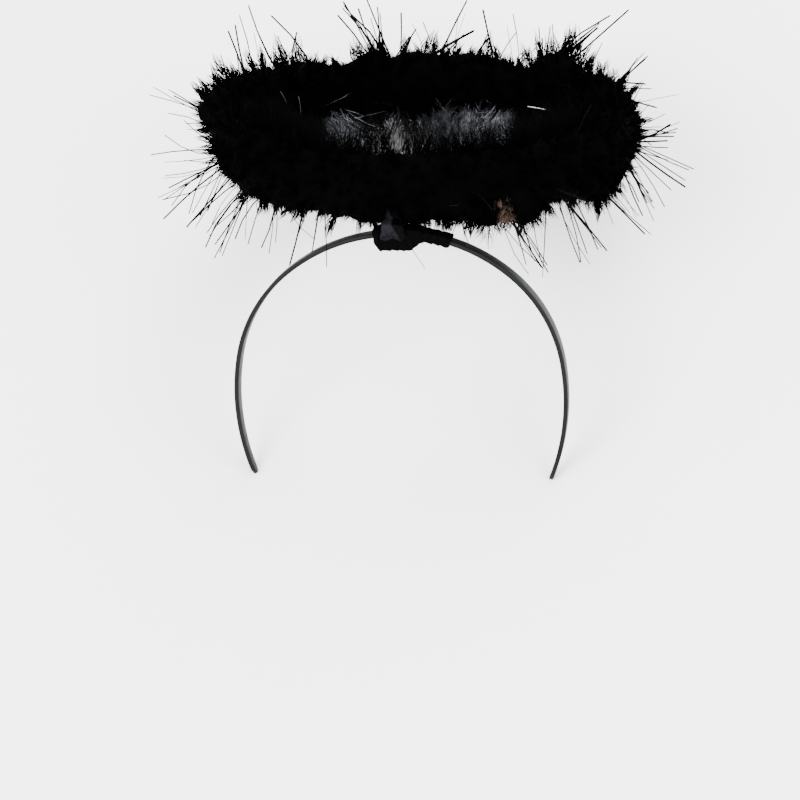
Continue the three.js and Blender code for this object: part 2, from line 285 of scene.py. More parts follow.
class Value:
    """A number in a material, with Python's arithmetic: an expression adds its Math nodes."""

    def __init__(self, finish, socket):
        self.finish = finish
        self.socket = socket

    def _math(self, operation, first, second):
        return self.finish.node("ShaderNodeMath", {"operation": operation}, {0: first, 1: second})

    def _before(self, operation, other):
        return self._math(operation, self, other)

    def _after(self, operation, other):
        return self._math(operation, other, self)

    __add__, __radd__ = partialmethod(_before, "ADD"), partialmethod(_after, "ADD")
    __sub__, __rsub__ = partialmethod(_before, "SUBTRACT"), partialmethod(_after, "SUBTRACT")
    __mul__, __rmul__ = partialmethod(_before, "MULTIPLY"), partialmethod(_after, "MULTIPLY")

    def above(self, edge, softness):
        """0 below the edge and 1 above it, with a soft step between."""
        settings = {"clamp": True, "interpolation_type": "SMOOTHSTEP"}
        inputs = {"Value": self, "From Min": edge - softness, "From Max": edge + softness}
        return self.finish.node("ShaderNodeMapRange", settings, inputs)


class Finish:
    """A procedural material on object coordinates, round one Principled BSDF."""

    def __init__(self, name, **constants):
        self.material = bpy.data.materials.new(name)
        self.material.use_nodes = True
        self.tree = self.material.node_tree
        self.shader = next(n for n in self.tree.nodes if n.type == "BSDF_PRINCIPLED")
        for socket, value in constants.items():
            self.feed(self.shader, socket.replace("_", " "), value)

    def feed(self, node, socket, value):
        """Sets a node's input, or links it where the value comes from another node."""
        if isinstance(value, Value):
            self.tree.links.new(value.socket, node.inputs[socket])
        elif hasattr(value, "__len__"):
            size = len(node.inputs[socket].default_value)
            node.inputs[socket].default_value = (*value, 1.0)[:size]
        else:
            node.inputs[socket].default_value = value

    def node(self, kind, settings=None, inputs=None, output=0):
        """Adds a node, with its settings first and then its inputs, and gives one of its outputs."""
        made = self.tree.nodes.new(kind)
        for key, value in (settings or {}).items():
            setattr(made, key, value)
        for socket, value in (inputs or {}).items():
            self.feed(made, socket, value)
        return Value(self, made.outputs[output])

    def where(self):
        """Object coordinates."""
        return self.node("ShaderNodeTexCoord", output="Object")

    def place(self, stretch=(1, 1, 1)):
        """Object coordinates, stretched."""
        return self.node("ShaderNodeMapping", inputs={"Vector": self.where(), "Scale": stretch})

    def axis(self, letter):
        """One of the object coordinates."""
        return self.node("ShaderNodeSeparateXYZ", inputs={"Vector": self.where()}, output=letter)

    def far_from(self, place):
        """Distance in metres from a place in object coordinates."""
        ends = {0: self.where(), 1: place}
        return self.node("ShaderNodeVectorMath", {"operation": "DISTANCE"}, ends, output="Value")

    def noise(self, size, detail=4.0, roughness=0.5, place=None):
        """Cloudy noise whose patches are about the given size in metres."""
        inputs = {"Scale": 1 / size, "Detail": detail, "Roughness": roughness}
        return self.node("ShaderNodeTexNoise", inputs={"Vector": place or self.place(), **inputs})

    def attribute(self, name):
        """A number that the piece's own points carry."""
        return self.node("ShaderNodeAttribute", {"attribute_name": name}, output="Fac")

    def blend(self, factor, first, second):
        """A colour between two others."""
        factor_in, first_in, second_in, colour_out = 0, 6, 7, 2
        inputs = {factor_in: factor, first_in: first, second_in: second}
        return self.node("ShaderNodeMix", {"data_type": "RGBA"}, inputs, output=colour_out)

    def bump(self, height, distance):
        """A height that tilts the shader's normal."""
        normal = self.node("ShaderNodeBump", inputs={"Height": height, "Distance": distance})
        self.feed(self.shader, "Normal", normal)

    def set(self, **inputs):
        """Feeds the shader's own inputs."""
        for socket, value in inputs.items():
            self.feed(self.shader, socket.replace("_", " "), value)


def shade_of(colour, amount):
    """A colour made lighter or darker."""
    return tuple(min(1.0, channel * amount) for channel in colour)


def plastic_finish(colour):
    """Moulded black plastic, satin, with a fine grain and faint scuffs."""
    finish = Finish("headband_plastic", Specular_IOR_Level=0.04, Coat_Roughness=0.35)
    cloud = finish.noise(0.012, detail=3)
    scuffs = finish.noise(0.0016, detail=6, place=finish.place(stretch=(1, 0.25, 1))).above(0.62, 0.08)
    grain = finish.noise(0.00035, detail=2)
    finish.set(
        Base_Color=finish.blend(cloud, shade_of(colour, 0.8), shade_of(colour, 1.5)),
        Roughness=0.4 + 0.1 * cloud + 0.12 * scuffs,
        Coat_Weight=0.012 - 0.01 * scuffs,
    )
    finish.bump(grain + 0.6 * cloud, 0.00003)
    return finish.material


def tape_finish(colour):
    """Black cloth tape with a fine weave and patches of wear."""
    finish = Finish("binding_tape", Specular_IOR_Level=0.01)
    threads = {
        "Scale": 900.0, "Distortion": 1.2, "Detail": 2.0, "Detail Scale": 2.0,
        "Vector": finish.place(),
    }
    across = finish.node("ShaderNodeTexWave", {"bands_direction": "X"}, threads)
    along = finish.node("ShaderNodeTexWave", {"bands_direction": "Z"}, threads)
    weave = across * along
    wear = finish.noise(0.004, detail=5)
    finish.set(
        Base_Color=finish.blend(wear * weave, shade_of(colour, 0.7), shade_of(colour, 2.6)),
        Roughness=0.72 + 0.2 * wear,
    )
    finish.bump(weave + 0.8 * wear, 0.00012)
    return finish.material


def ribbon_finish(colour):
    """Satin ribbon, mottled where it is creased, with painted sheen, a painted highlight up high and painted
    shade on the right.
    """
    finish = Finish("satin_ribbon", Specular_IOR_Level=0.02)
    mottle = finish.noise(0.0022, detail=5, roughness=0.6)
    threads = finish.noise(0.0004, detail=2, place=finish.place(stretch=(1, 1, 6)))
    # Where the painted shade on the right side begins and how soft its edge is, then the same for the painted
    # highlight up high
    slant, painted_shade_from, painted_shade_edge = 0.75, 0.0042, 0.0008
    bright_from, bright_edge = 0.007, 0.004
    crown = WORN.translation
    to_the_right = finish.axis("X") + slant * (finish.axis("Z") - crown.z) - (crown.x + painted_shade_from)
    # Painted shade on the right side, away from the light
    painted_shade = to_the_right.above(0.0, painted_shade_edge)
    # A painted highlight that lightens the upper part of the ribbon
    high = (finish.axis("Z") - crown.z).above(bright_from, bright_edge)
    # The lit left face, with a painted sheen on the mottled patches
    bright = finish.blend(mottle.above(0.5, 0.16), shade_of(colour, 0.4), shade_of(colour, 1.6))
    bright = finish.blend(high, bright, shade_of(colour, 2.6))
    finish.set(
        Base_Color=finish.blend(painted_shade, bright, shade_of(colour, 0.06)),
        Roughness=0.42 + 0.3 * mottle,
    )
    finish.bump(threads + 0.5 * mottle, 0.00008)
    return finish.material


def wire_finish(colour):
    """Black lacquered wire with small bare nicks."""
    finish = Finish("black_wire", Specular_IOR_Level=0.5)
    nicks = finish.noise(0.0012, detail=4).above(0.68, 0.03)
    finish.set(
        Base_Color=finish.blend(nicks, tuple(colour), (0.2, 0.2, 0.2)),
        Metallic=nicks,
        Roughness=0.45 - 0.1 * nicks,
    )
    return finish.material


def feather_finish(name, colour, warm, warm_places):
    """Marabou: black down, with one brown plume along a row of places."""
    plume_half, plume_edge, ragged = 0.0062, 0.0015, 0.003
    finish = Finish(name, Specular_IOR_Level=0.006)
    patches = finish.noise(0.009, detail=3)
    streaks = finish.noise(0.0016, detail=2)
    far = 1.0
    for place in warm_places:
        far = far * (finish.far_from(place) + ragged * streaks).above(plume_half, plume_edge)
    black = finish.blend(patches, shade_of(colour, 0.5), shade_of(colour, 1.9))
    finish.set(
        Base_Color=finish.blend((1.0 - far) * streaks.above(0.3, 0.25), black, tuple(warm)),
        Roughness=0.72 + 0.25 * patches,
    )
    return finish.material


def wisp_finish(colour):
    """Loose down: grey where the piece's own light attribute says so, and black elsewhere."""
    finish = Finish("marabou_wisp", Specular_IOR_Level=0.01)
    patches = finish.noise(0.004, detail=5, roughness=0.6).above(0.46, 0.12)
    lit = patches * finish.attribute("light")
    finish.set(
        Base_Color=finish.blend(lit, shade_of(colour, 0.02), shade_of(colour, 14.0)),
        Roughness=0.7 + 0.2 * patches,
    )
    return finish.material


def film_finish(colour):
    """Dark metallised film with painted glints: flecks painted bright, and near white where the glint
    attribute says so.
    """
    finish = Finish("tinsel_film", Specular_IOR_Level=0.01)
    # Painted glints: flecks whose colour is painted bright, and which are also more metallic and smoother
    painted_glint_flecks = finish.noise(0.008, detail=1).above(0.78, 0.015)
    film = finish.blend(painted_glint_flecks, tuple(colour), shade_of(colour, 120.0))
    finish.set(
        # A painted glint: near white where the glint attribute is set
        Base_Color=finish.blend(finish.attribute("glint"), film, (0.9, 0.9, 0.9)),
        Metallic=0.9 * painted_glint_flecks,
        Roughness=0.5 - 0.25 * painted_glint_flecks,
    )
    return finish.material


def floor_finish(colour):
    """Pale matt floor with a barely visible unevenness."""
    finish = Finish("pale_floor", Specular_IOR_Level=0.1)
    cloud = finish.noise(0.5, detail=2)
    finish.set(
        Base_Color=finish.blend(cloud, shade_of(colour, 0.985), shade_of(colour, 1.0)),
        Roughness=0.85 + 0.1 * cloud,
    )
    return finish.material


def start_piece():
    """Leaves edit mode and deselects everything, so that operators act on the new piece alone."""
    if bpy.context.object and bpy.context.object.mode != "OBJECT":
        bpy.ops.object.mode_set(mode="OBJECT")
    bpy.ops.object.select_all(action="DESELECT")


def finish_piece(piece, name, material, node):
    """Names a piece, gives it its material and sets it on the body in place of its CAD node."""
    piece.name = name
    piece.data.name = name
    piece.data.materials.clear()
    piece.data.materials.append(material)
    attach(piece, "root")
    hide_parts(node)


def apply_modifier(piece, name, kind, **settings):
    """Adds a modifier with its settings and applies it."""
    modifier = piece.modifiers.new(name, kind)
    for key, value in settings.items():
        setattr(modifier, key, value)
    bpy.context.view_layer.objects.active = piece
    bpy.ops.object.modifier_apply(modifier=modifier.name)


def smooth_by_angle(piece, angle):
    """Smooth shading up to an angle between faces."""
    start_piece()
    piece.select_set(True)
    bpy.context.view_layer.objects.active = piece
    bpy.ops.object.shade_smooth_by_angle(angle=math.radians(angle))


def vertex_places(piece):
    """A mesh's vertices as an array of shape (count, 3)."""
    places = np.empty(len(piece.data.vertices) * 3, np.float32)
    piece.data.vertices.foreach_get("co", places)
    return places.reshape(-1, 3).astype(float)


def set_vertex_places(piece, places):
    """Moves a mesh's vertices to the places in an array."""
    piece.data.vertices.foreach_set("co", places.astype(np.float32).ravel())
    piece.data.update()


def moved(points, matrix):
    """Points of shape (..., 3) through a 4 by 4 matrix."""
    table = np.array(matrix)
    return points @ table[:3, :3].T + table[:3, 3]


def mesh_piece(name, points, triangles):
    """A mesh object from arrays of vertices and triangles, shaded smooth."""
    mesh = bpy.data.meshes.new(name)
    mesh.vertices.add(len(points))
    mesh.vertices.foreach_set("co", points.astype(np.float32).ravel())
    mesh.loops.add(triangles.size)
    mesh.loops.foreach_set("vertex_index", triangles.astype(np.int32).ravel())
    mesh.polygons.add(len(triangles))
    mesh.polygons.foreach_set("loop_start", np.arange(0, triangles.size, 3, dtype=np.int32))
    mesh.polygons.foreach_set("use_smooth", np.ones(len(triangles), dtype=bool))
    mesh.update(calc_edges=True)
    piece = bpy.data.objects.new(name, mesh)
    bpy.context.scene.collection.objects.link(piece)
    return piece


def set_attribute(piece, name, values):
    """Gives a mesh's vertices a number each, which its material reads."""
    attribute = piece.data.attributes.new(name, "FLOAT", "POINT")
    attribute.data.foreach_set("value", values)


def band_arcs(sizes):
    """The band's outer line as arcs, from the left tip to the right tip. Angles start at the crown."""
    lengths = (
        {"radius": sizes.crown_radius, "start": 0, "end": CROWN_END},
        {"radius": sizes.temple_radius, "start": CROWN_END, "end": TEMPLE_END},
        {"radius": sizes.side_radius, "start": TEMPLE_END, "end": BAND_END},
    )
    centre = Vector((0, 0, -sizes.crown_radius))
    previous = sizes.crown_radius
    right = []
    for arc in lengths:
        turn = math.radians(arc["start"])
        centre = centre + (previous - arc["radius"]) * Vector((math.sin(turn), 0, math.cos(turn)))
        previous = arc["radius"]
        right.append({**arc, "centre": centre})
    left = [
        {**arc, "start": -arc["end"], "end": -arc["start"], "centre": arc["centre"] * Vector((-1, 1, 1))}
        for arc in reversed(right)
    ]
    return left + right


def band_point(sizes, angle, offset):
    """A point of the band's line in the worn frame, moved outwards by an offset."""
    arc = next(a for a in band_arcs(sizes) if a["start"] <= angle <= a["end"])
    turn = math.radians(angle)
    return arc["centre"] + (arc["radius"] + offset) * Vector((math.sin(turn), 0, math.cos(turn)))


def spin_along_band(sizes, start, end, step):
    """Spins the selected section along the band's arcs, between two angles and in steps in degrees."""
    for arc in band_arcs(sizes):
        low = max(start, arc["start"])
        high = min(end, arc["end"])
        if high <= low:
            continue
        steps = max(1, round((high - low) / step))
        bpy.ops.mesh.spin(steps=steps, angle=math.radians(low - high), center=arc["centre"], axis=(0, 1, 0))


def section_plane(sizes, angle, middle, width, height):
    """Adds a rectangular section across the band at an angle, and leaves it selected in edit mode."""
    start_piece()
    place = band_point(sizes, angle, middle)
    bpy.ops.mesh.primitive_plane_add(size=1, location=place, rotation=(0, math.radians(90 + angle), 0))
    piece = bpy.context.object
    piece.scale = (height, width, 1)
    bpy.ops.object.transform_apply(location=True, rotation=True, scale=True)
    bpy.ops.object.mode_set(mode="EDIT")
    bpy.ops.mesh.select_all(action="SELECT")
    return piece


def close_and_face_out(piece):
    """Merges doubles, points the faces outwards and makes sure that the mesh is closed."""
    bpy.ops.object.mode_set(mode="EDIT")
    bpy.ops.mesh.select_all(action="SELECT")
    bpy.ops.mesh.remove_doubles(threshold=0.000001)
    bpy.ops.mesh.normals_make_consistent(inside=False)
    bpy.ops.mesh.select_all(action="DESELECT")
    bpy.ops.mesh.select_mode(type="EDGE")
    bpy.ops.mesh.select_non_manifold()
    bpy.ops.object.mode_set(mode="OBJECT")
    loose = sum(edge.select for edge in piece.data.edges)
    if loose:
        raise RuntimeError(f"{piece.name} has {loose} open edges")


def band_half_width(sizes, height):
    """Half of the band's width at heights in the worn frame, down to its round tips."""
    tip_radius = sizes.band_tip_width / 2
    tip_end = band_point(sizes, BAND_END, -sizes.band_thickness).z
    tip_centre = tip_end + tip_radius
    straight = np.interp(height, [tip_centre, -sizes.taper_drop], [tip_radius, sizes.band_width / 2])
    roundest = 0.96
    below = np.clip((tip_centre - height) / tip_radius, 0, roundest)
    return np.where(height < tip_centre, tip_radius * np.sqrt(1 - below**2), straight)


def make_headband(sizes, colours):
    """The smooth band, tapered to its tips."""
    middle = -sizes.band_thickness / 2
    tip_start, tip_step, arch_step = 109, 0.35, 1.6
    piece = section_plane(sizes, -BAND_END, middle, sizes.band_width, sizes.band_thickness)
    spin_along_band(sizes, -BAND_END, -tip_start, tip_step)
    spin_along_band(sizes, -tip_start, tip_start, arch_step)
    spin_along_band(sizes, tip_start, BAND_END, tip_step)
    close_and_face_out(piece)
    places = vertex_places(piece)
    places[:, 1] *= band_half_width(sizes, places[:, 2]) / (sizes.band_width / 2)
    set_vertex_places(piece, places)
    apply_modifier(
        piece,
        "Round edges",
        "BEVEL",
        width=sizes.band_edge,
        segments=3,
        limit_method="ANGLE",
        angle_limit=math.radians(50),
        use_clamp_overlap=True,
    )
    piece.data.transform(WORN)
    smooth_by_angle(piece, 40)
    finish_piece(piece, "headband_shell", plastic_finish(colours.plastic), "headband")


def band_station(sizes, places):
    """For points in the worn frame near the crown: length along the band, and height over its top."""
    across = places[:, 0]
    above = places[:, 2] + sizes.crown_radius
    return np.arctan2(across, above) * sizes.crown_radius, np.hypot(across, above) - sizes.crown_radius


def smooth_step(share):
    """Shares from 0 to 1 with a level start and end."""
    return share**2 * (3 - 2 * share)


def make_binding(sizes, colours):
    """Tape wound round the band and the wire's legs: thick at the stem, thin over the long leg."""
    clearance = 0.0003
    thick, thin = 0.0016, 0.0008
    start, end, ring_step = -0.0115, 0.0265, 0.0004
    step_at, step_soft = 0.0115, 0.0004
    pitch, lip = 0.0042, 0.0005
    ridge, ridge_half = 0.0016, 0.0019
    belly, belly_end, left_fade, right_fade = 0.0042, 0.014, 0.004, 0.008
    middle = -sizes.band_thickness / 2
    wall = thin / 2
    around_band = 2 * (clearance + wall)

    def degrees_at(length):
        return math.degrees(length / sizes.crown_radius)

    piece = section_plane(
        sizes, degrees_at(start), middle, sizes.band_width + around_band, sizes.band_thickness + around_band
    )
    bpy.ops.mesh.inset(thickness=wall)
    bpy.ops.mesh.delete(type="FACE")
    bpy.ops.mesh.select_all(action="SELECT")
    bpy.ops.mesh.subdivide(number_cuts=10)
    spin_along_band(sizes, degrees_at(start), degrees_at(end), degrees_at(ring_step))
    close_and_face_out(piece)
    places = vertex_places(piece)
    length, height = band_station(sizes, places)
    off_middle = height - middle
    half_width = sizes.band_width / 2 + clearance
    half_height = sizes.band_thickness / 2 + clearance
    reach = np.maximum(np.abs(places[:, 1]) - half_width, np.abs(off_middle) - half_height)
    outer = np.clip(reach / wall, 0, 1)
    around = np.arctan2(off_middle * 3, places[:, 1])
    turns = length / pitch + 0.35 * np.sin(around) + 0.12 * np.sin(3 * around + length / 0.003)
    step = 1 / (1 + np.exp((length - step_at) / step_soft))
    grow = outer * (thin - wall + (thick - thin) * step + lip * (np.mod(turns, 1) - 0.3))
    front_low = np.clip(-places[:, 1] / half_width, 0, 1) ** 2 * (off_middle < 0)
    left_end = np.clip((length - start) / left_fade + 0.2, 0, 1)
    right_end = np.clip((belly_end - length) / right_fade, 0, 1)
    drop = outer * belly * smooth_step(left_end) * smooth_step(right_end) * front_low
    side = np.clip(places[:, 1] / half_width, -1, 1) ** 7
    top = np.clip(off_middle / half_height, -1, 1) ** 3
    over_legs = outer * ridge * np.exp(-((places[:, 1] / ridge_half) ** 2)) * (off_middle > 0)
    radius = height + sizes.crown_radius
    lifted = radius + grow * top + over_legs - drop
    places[:, 1] += grow * side
    places[:, 0] *= lifted / radius
    places[:, 2] = (places[:, 2] + sizes.crown_radius) / radius * lifted - sizes.crown_radius
    set_vertex_places(piece, places)
    piece.data.transform(WORN)
    smooth_by_angle(piece, 50)
    finish_piece(piece, "binding_tape", tape_finish(colours.tape), "foot_wrap")


def ribbon_radius(share):
    """The ribbon's radius at shares of its height over the band."""
    neck, foot = 0.0041, 0.0066
    return neck + (foot - neck) * np.exp(-share / 0.33)


def make_ribbon(sizes, colours):
    """Satin ribbon wound up the stem in slanted turns, with an end that laps over the binding in front."""
    bottom, height, hole = RIBBON_BOTTOM, RIBBON_HEIGHT, 0.0012
    pitch, lip = 0.0038, 0.0006
    lap_drop, lap_front = 0.0046, -0.0086
    rings = 70
    foot = float(ribbon_radius(0))
    start_piece()
    bpy.ops.mesh.primitive_circle_add(vertices=64, radius=foot, fill_type="NGON", location=(0, 0, bottom))
    piece = bpy.context.object
    bpy.ops.object.transform_apply(location=True, rotation=True, scale=True)
    bpy.ops.object.mode_set(mode="EDIT")
    bpy.ops.mesh.select_all(action="SELECT")
    bpy.ops.mesh.inset(thickness=foot - hole)
    bpy.ops.mesh.delete(type="FACE")
    bpy.ops.mesh.select_all(action="SELECT")
    for _ in range(rings):
        bpy.ops.mesh.extrude_region_move(TRANSFORM_OT_translate={"value": (0, 0, height / rings)})
    close_and_face_out(piece)
    places = vertex_places(piece)
    turn = np.arctan2(places[:, 1], places[:, 0])
    share = (places[:, 2] - bottom) / height
    outside = np.hypot(places[:, 0], places[:, 1]) > (foot + hole) / 2
    turns = (places[:, 2] - bottom) / pitch - turn / (2 * np.pi) + 0.1 * np.sin(2 * turn)
    crease = 0.00022 * np.sin(9 * turn + 14 * share) * np.sin(31 * share + 2 * turn)
    radius = ribbon_radius(share) * (1 + 0.08 * np.cos(2 * turn)) + lip * (0.5 - np.mod(turns, 1)) + crease
    low = np.clip(1 - share / 0.3, 0, 1)
    front = np.clip((-np.sin(turn) - 0.1) / 0.3, 0, 1) * outside
    over = front * np.clip(low * 4, 0, 1)
    places[:, 0] = np.where(outside, radius * np.cos(turn) + RIBBON_SHIFT, places[:, 0])
    places[:, 1] = np.where(outside, radius * np.sin(turn), places[:, 1])
    places[:, 1] += over * (lap_front - crease - places[:, 1])
    places[:, 2] -= front * low * lap_drop * (1 + 0.12 * np.sin(5 * turn))
    set_vertex_places(piece, places)
    piece.data.transform(WORN)
    smooth_by_angle(piece, 50)
    finish_piece(piece, "wound_ribbon", ribbon_finish(colours.ribbon), "stem_ribbon")


def dress_wire(colours):
    """The CAD wire has its real shape, so it only takes its finish."""
    wire = frame["nodes"]["wire_frame"]
    wire.data.materials.clear()
    wire.data.materials.append(wire_finish(colours.wire))


def ring_frame(sizes):
    """The ring's own frame, from its centre with its axis along Z and the stem at -Y."""
    return (
        WORN
        @ Matrix.Translation((0, 0, sizes.stem_height))
        @ Matrix.Rotation(sizes.ring_tilt, 4, "X")
        @ Matrix.Translation((0, sizes.ring_radius, 0))
    )


def round_ring(column, angle):
    """A column of the ring's table at angles in radians."""
    return np.interp(np.mod(np.degrees(angle), 360), ROUND_RING["at"], ROUND_RING[column])


def degrees_from(angle, at):
    """How far angles in radians lie from a place in degrees, the short way round."""
    return np.mod(np.degrees(angle) - at + 180, 360) - 180


def tuft_height(angle, tube_angle):
    """How far the tufts stand out at angles round the ring and round its tube, in radians."""
    height = np.zeros_like(angle)
    for at, around, wide, tall in zip(*TUFTS.values()):
        off_ring = degrees_from(angle, at) / wide
        off_tube = degrees_from(tube_angle, around) / TUFT_SPREAD
        height += tall * np.exp(-(off_ring**2) - off_tube**2)
    return height


def tube_centre(sizes, outward, angle):
    """The middle of the feathers at angles round the ring, with their outward directions."""
    rise = round_ring("lift", angle)[..., None] * np.array([0.0, 0.0, 1.0])
    return outward * sizes.ring_radius + rise


def ring_directions(angle, tube_angle):
    """Outward, along and radial unit vectors at angles round the ring and round its tube, in radians."""
    level = np.zeros_like(angle)
    outward = np.stack([np.sin(angle), -np.cos(angle), level], -1)
    along = np.stack([np.cos(angle), np.sin(angle), level], -1)
    up = np.stack([level, level, level + 1], -1)
    radial = outward * np.cos(tube_angle)[..., None] + up * np.sin(tube_angle)[..., None]
    return outward, along, radial


def unit(vectors):
    """Vectors of shape (..., 3) at length one."""
    return vectors / np.linalg.norm(vectors, axis=-1, keepdims=True)


def sideways(random, heading, spread):
    """Vectors across their headings, of random direction and length."""
    across = unit(np.cross(heading, random.normal(0, 1, heading.shape)))
    return across * random.normal(0, spread, (len(heading), 1))


def strand_arrays(points, widths, flatness=0.7, sides=3, twist=0.0):
    """Closed pointed strands. points is (strands, stations, 3), widths is (strands, stations)."""
    strands, stations = widths.shape
    travel = unit(np.gradient(points, axis=1))
    helper = np.where(np.abs(travel[..., 2:]) < 0.8, [[[0.0, 0.0, 1.0]]], [[[1.0, 0.0, 0.0]]])
    first = unit(np.cross(travel, helper))
    second = np.cross(travel, first)
    body = stations - 1
    turn = 2 * np.pi * np.arange(sides) / sides
    wide = np.cos(turn)[None, None, :, None] * widths[:, :body, None, None] / 2
    deep = np.sin(turn)[None, None, :, None] * widths[:, :body, None, None] / 2 * flatness
    roll = np.broadcast_to(twist, widths.shape)[:, :body, None, None]
    axis_wide = first[:, :body, None] * np.cos(roll) + second[:, :body, None] * np.sin(roll)
    axis_deep = second[:, :body, None] * np.cos(roll) - first[:, :body, None] * np.sin(roll)
    walls = points[:, :body, None] + axis_wide * wide + axis_deep * deep
    each = body * sides + 1
    vertices = np.concatenate([walls.reshape(strands, -1, 3), points[:, -1:]], axis=1)
    index = np.arange(body * sides).reshape(body, sides)
    after = np.roll(index, -1, axis=1)
    low, high = index[:-1], index[1:]
    low_after, high_after = after[:-1], after[1:]
    tip = np.full(sides, body * sides)
    base = [[0, k + 1, k] for k in range(1, sides - 1)]
    faces = np.concatenate(
        [
            np.stack([low, low_after, high_after], -1).reshape(-1, 3),
            np.stack([low, high_after, high], -1).reshape(-1, 3),
            np.stack([index[-1], after[-1], tip], -1),
            np.array(base),
        ]
    )
    triangles = faces[None] + (np.arange(strands) * each)[:, None, None]
    return vertices.reshape(-1, 3), triangles.reshape(-1, 3)


def plume_pattern(random, barbs):
    """One plume a unit long along Z: barbs of three points that bulge from its shaft and close to its tip."""
    highest_root, turn_each, few, far_stray = 0.55, 2.4, 0.8, 0.16
    height = np.sort(random.uniform(0.0, highest_root, barbs))
    around = turn_each * np.arange(barbs) + random.uniform(-0.5, 0.5, barbs)
    bulge = np.interp(height, [0, highest_root], [0.3, 0.12]) * random.uniform(0.6, 1.3, barbs)
    stray = random.uniform(0.01, 0.12, barbs) + far_stray * (random.uniform(0, 1, barbs) > few)
    top = np.interp(height, [0, highest_root], [0.72, 1.0]) * random.uniform(0.85, 1.12, barbs)
    side = np.stack([np.cos(around), np.sin(around), np.zeros(barbs)], -1)
    up = np.array([0.0, 0.0, 1.0])
    root = height[:, None] * up
    belly = root + bulge[:, None] * side + 0.45 * (top - height)[:, None] * up
    tip = stray[:, None] * side + top[:, None] * up
    return np.stack([root, belly, tip], axis=1)


def keep_clear(sizes, points):
    """Lays the feathers on the floor and on the band, and parts them round the stem."""
    tape_half, tape_start, tape_end, over_tape, over_band = 0.0078, -0.0125, 0.0275, 0.0034, 0.0006
    parting_top, parting_half, behind_stem = 0.0142, 0.0066, 0.003
    gap, floor_gap, band_reach = 0.0007, 0.0004, 0.06
    worn = moved(points, WORN.inverted())
    across, back, up = worn[..., 0], worn[..., 1], worn[..., 2]
    inside = np.clip(np.abs(across), 0, sizes.crown_radius)
    top = np.sqrt(sizes.crown_radius**2 - inside**2) - sizes.crown_radius
    top = top + np.where((across > tape_start) & (across < tape_end), over_tape, over_band)
    in_band = (np.abs(back) < tape_half) & (up < top) & (np.abs(across) < band_reach)
    up = np.where(in_band, top + 0.15 * (top - up), up)
    off_stem = across - RIBBON_SHIFT
    parting = parting_top - 0.014 * (off_stem / parting_half) ** 4
    before_stem = (back < behind_stem) & (up < parting)
    up = np.where(before_stem, parting + 0.2 * (parting - up), up)
    far = np.hypot(off_stem, back)
    post = ribbon_radius(np.clip((up - RIBBON_BOTTOM) / RIBBON_HEIGHT, 0, 1)) + gap
    near_post = (far < post) & (up < RIBBON_BOTTOM + RIBBON_HEIGHT)
    push = np.where(near_post, post / np.maximum(far, 1e-6), 1.0)
    laid = moved(np.stack([off_stem * push + RIBBON_SHIFT, back * push, up], -1), WORN)
    laid[..., 2] = np.maximum(laid[..., 2], floor_gap)
    return laid


def plume_barbs(sizes):
    """Every barb of the plumes as three points, with its plume's angle round the ring and its width."""
    random = np.random.default_rng(11)
    rows, columns, barbs = sizes.plumes_along, sizes.plumes_around, sizes.plume_barbs
    count = rows * columns
    plain_share, more_on_top, scatter, bow, kinds = 0.79, 0.07, 0.0014, 0.0016, 24
    row, column = np.divmod(np.arange(count), columns)
    angle = 2 * np.pi * (row + random.uniform(0, 1, count)) / rows
    tube_angle = 2 * np.pi * (column + 0.5 * (row % 2) + random.uniform(-0.3, 0.3, count)) / columns
    outward, along, radial = ring_directions(angle, tube_angle)
    clump = 1 + 0.06 * np.sin(23 * angle + 2 * tube_angle) + 0.07 * np.sin(47 * angle - 3 * tube_angle)
    upward = np.sin(tube_angle)
    spike = random.uniform(0, 1, count) > plain_share - more_on_top * upward
    beyond = random.uniform(1.06, 1.3, count) + 0.05 * upward
    stretch_out = np.where(spike, beyond, random.uniform(0.76, 0.98, count))
    tuft = tuft_height(angle, tube_angle)
    root_depth = sizes.plume_root + 0.6 * tuft
    length = sizes.plume_reach * round_ring("share", angle) * clump * stretch_out + tuft - root_depth
    lean = sizes.plume_lean * (np.sin(7 * angle + 1.5) + random.normal(0, 0.8, count))
    shaft = unit(radial * length[:, None] + along * lean[:, None] + random.normal(0, scatter, (count, 3)))
    side = unit(np.cross(shaft, random.normal(0, 1, (count, 3))))
    axes = np.stack([side, np.cross(shaft, side), shaft], axis=1)
    patterns = np.stack([plume_pattern(random, barbs) for _ in range(kinds)])
    chosen = patterns[random.integers(0, len(patterns), count)]
    width = np.where(spike, 0.6, 1.0) * random.uniform(0.75, 1.2, count)
    point = np.where(spike, 0.2, 0.8)
    stretch = np.stack([width, width, np.ones(count)], -1) * length[:, None]
    shaped = chosen * stretch[:, None, None, :]
    shaped[:, :, 2, :2] *= point[:, None, None]
    local = np.einsum("pbkc,pcd->pbkd", shaped, axes)
    bend = bow * random.normal(0, 1, count)[:, None, None, None]
    curl = chosen[..., 2:] ** 2 * bend * along[:, None, None]
    root = tube_centre(sizes, outward, angle) + radial * root_depth[:, None]
    points = moved(local + curl + root[:, None, None], ring_frame(sizes))
    thickness = np.where(spike, 1.6, 1.0) * sizes.barb_width
    return keep_clear(sizes, points), angle, np.repeat(thickness[:, None], barbs, axis=1)


